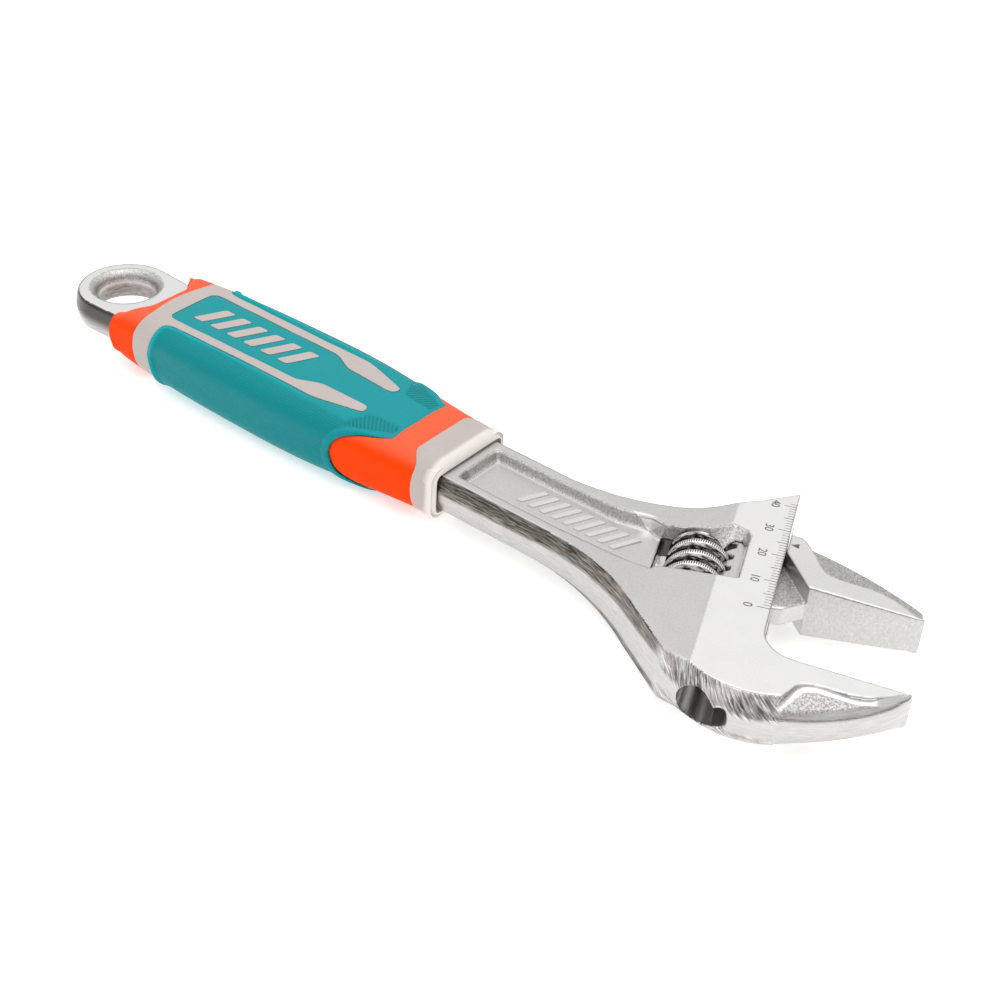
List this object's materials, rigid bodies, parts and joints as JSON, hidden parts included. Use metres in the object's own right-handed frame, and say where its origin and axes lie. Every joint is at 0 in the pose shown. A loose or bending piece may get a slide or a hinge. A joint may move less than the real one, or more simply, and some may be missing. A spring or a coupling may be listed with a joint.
{
  "type": "adjustable wrench",
  "caption": "Adjustable wrench with a worm-driven sliding jaw, an engraved opening scale, a hanging ring and a moulded soft grip in teal, orange and grey.",
  "frame": {"origin": "centre of the hanging hole, on the mid-plane of the tool", "axes": "+X from the hanging ring to the jaws, +Y towards the side of the moving jaw, +Z out of the flat of the tool"},
  "size_m": [0.2621, 0.074, 0.019],
  "materials": {
    "steel": "satin chrome plate, ground on the scale band",
    "worm_steel": "polished",
    "spring_steel": "drawn wire",
    "grip_grey": "fine matt",
    "grip_teal": "fine grain",
    "grip_orange": "fine grain"
  },
  "bodies": {
    "body": {"wrench_body": "steel", "worm_pin": "worm_steel", "worm_spring": "spring_steel", "grip_core": "grip_grey", "grip_teal": "grip_teal", "grip_front": "grip_orange", "grip_rear": "grip_orange"},
    "worm": {"worm": "worm_steel"},
    "jaw": {"movable_jaw": "steel"}
  },
  "joints": [
    {"name": "jaw_slide", "type": "slide", "parent": "body", "child": "jaw", "axis": [-0.3827, 0.9239, 0], "range_m": [-0.0255, 0.0104]},
    {"name": "worm_spin", "type": "hinge", "parent": "body", "child": "worm", "pos_m": [0.18752, 0.00554, 0], "axis": [0.3827, -0.9239, 0], "range_deg": [-2096.4, 855.3]}
  ],
  "couplings": [
    {"joint": "worm_spin", "follows": "jaw_slide", "rad_per_m": 1434.5}
  ]
}
